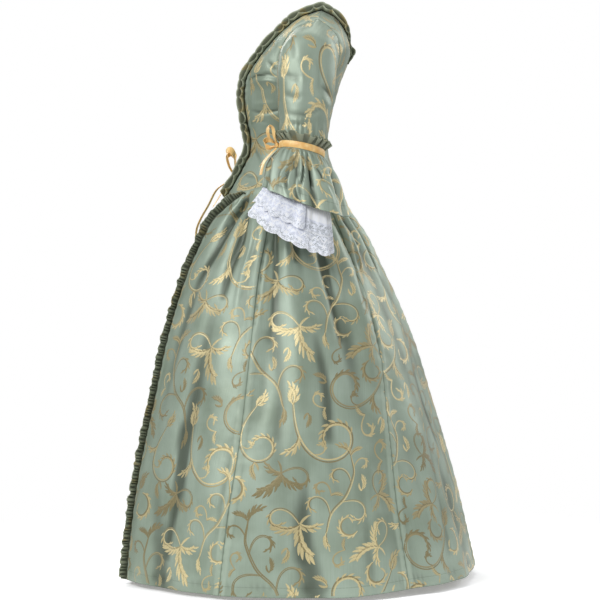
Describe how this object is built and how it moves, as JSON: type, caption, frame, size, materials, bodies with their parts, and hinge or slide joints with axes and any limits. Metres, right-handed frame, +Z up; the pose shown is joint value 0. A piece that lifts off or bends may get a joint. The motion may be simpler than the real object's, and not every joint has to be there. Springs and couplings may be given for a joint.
{
  "type": "renaissance gown",
  "caption": "Floor-length gown with a ruffled open front over a flat centre, elbow sleeves with bows, pleated flounces and lace falls, and a full gathered skirt, hollow as worn.",
  "frame": {"origin": "midway between the tops of the two shoulder straps, where the gown rests on its wearer", "axes": "+Z up, the gown faces -Y, the wearer's left is +X"},
  "size_m": [0.898, 0.8775, 1.4056],
  "materials": {
    "brocade": "sage green satin jacquard with gold scrolls",
    "gold_satin": "gold satin ribbon",
    "white_lace": "white lace, matt"
  },
  "bodies": {
    "root": {"bodice_centre": "brocade", "skirt_front": "brocade", "bodice_front_left": "brocade", "bodice_front_right": "brocade", "bodice_back_left": "brocade", "bodice_back_right": "brocade", "bodice_ruffle_left": "brocade", "bodice_ruffle_right": "brocade", "sleeve_left": "brocade", "sleeve_right": "brocade", "sleeve_frill_left": "brocade", "sleeve_frill_right": "brocade", "flounce_left": "brocade", "flounce_right": "brocade", "skirt_front_side_left": "brocade", "skirt_front_side_right": "brocade", "skirt_side_left": "brocade", "skirt_side_right": "brocade", "skirt_back_left": "brocade", "skirt_back_right": "brocade", "skirt_ruffle_left": "brocade", "skirt_ruffle_right": "brocade", "sleeve_ribbon_left": "gold_satin", "sleeve_ribbon_right": "gold_satin", "waist_bow_knot": "gold_satin", "waist_bow_loop_left": "gold_satin", "waist_bow_loop_right": "gold_satin", "waist_bow_tail_left": "gold_satin", "waist_bow_tail_right": "gold_satin", "sleeve_bow_left_knot": "gold_satin", "sleeve_bow_left_loop_1": "gold_satin", "sleeve_bow_left_loop_2": "gold_satin", "sleeve_bow_left_tail_1": "gold_satin", "sleeve_bow_left_tail_2": "gold_satin", "sleeve_bow_right_knot": "gold_satin", "sleeve_bow_right_loop_1": "gold_satin", "sleeve_bow_right_loop_2": "gold_satin", "sleeve_bow_right_tail_1": "gold_satin", "sleeve_bow_right_tail_2": "gold_satin", "lace_left": "white_lace", "lace_right": "white_lace"}
  },
  "joints": []
}
